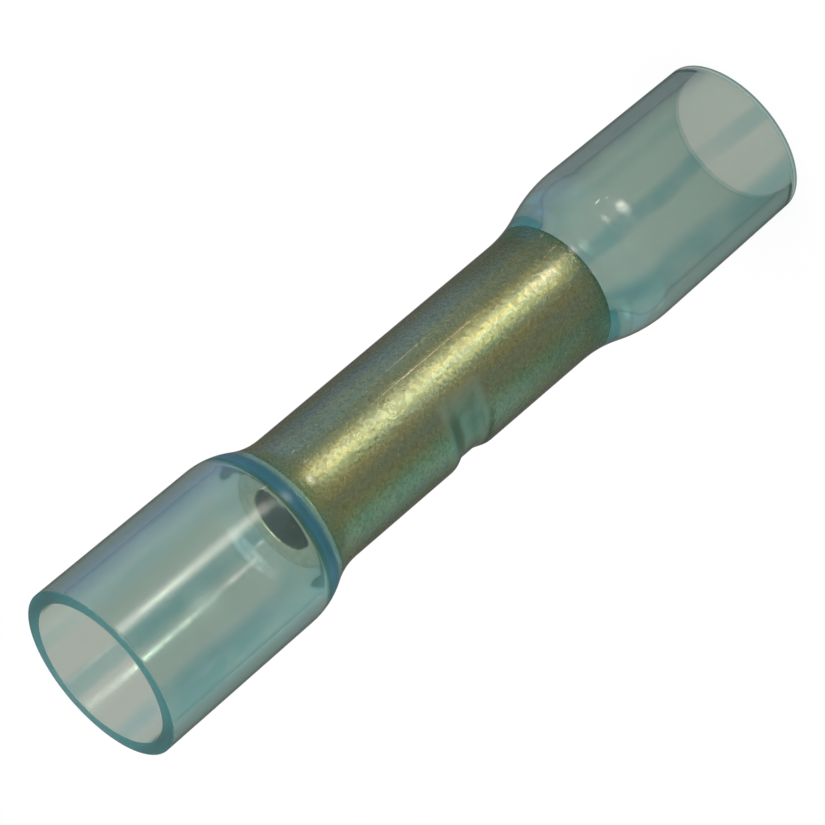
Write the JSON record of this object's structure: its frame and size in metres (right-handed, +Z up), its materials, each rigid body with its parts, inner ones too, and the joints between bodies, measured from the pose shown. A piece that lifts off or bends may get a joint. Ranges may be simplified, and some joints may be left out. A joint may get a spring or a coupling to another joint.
{
  "type": "heat-shrink butt splice connector",
  "caption": "Translucent heat-shrink sleeve with wide open ends, necked down on a short metal crimp tube that joins two wires end to end.",
  "frame": {"origin": "centre of the narrower tube's flat-cut end, on which the connector stands", "axes": "+Z runs up the connector's axis to the wider tube's end; the punch mark in the middle faces -Y"},
  "size_m": [0.0066, 0.0066, 0.0318],
  "materials": {
    "sleeve": "translucent, satin",
    "barrel": "fine-grained, satin"
  },
  "bodies": {
    "root": {"insulating_sleeve": "sleeve", "crimp_barrel": "barrel"}
  },
  "joints": []
}
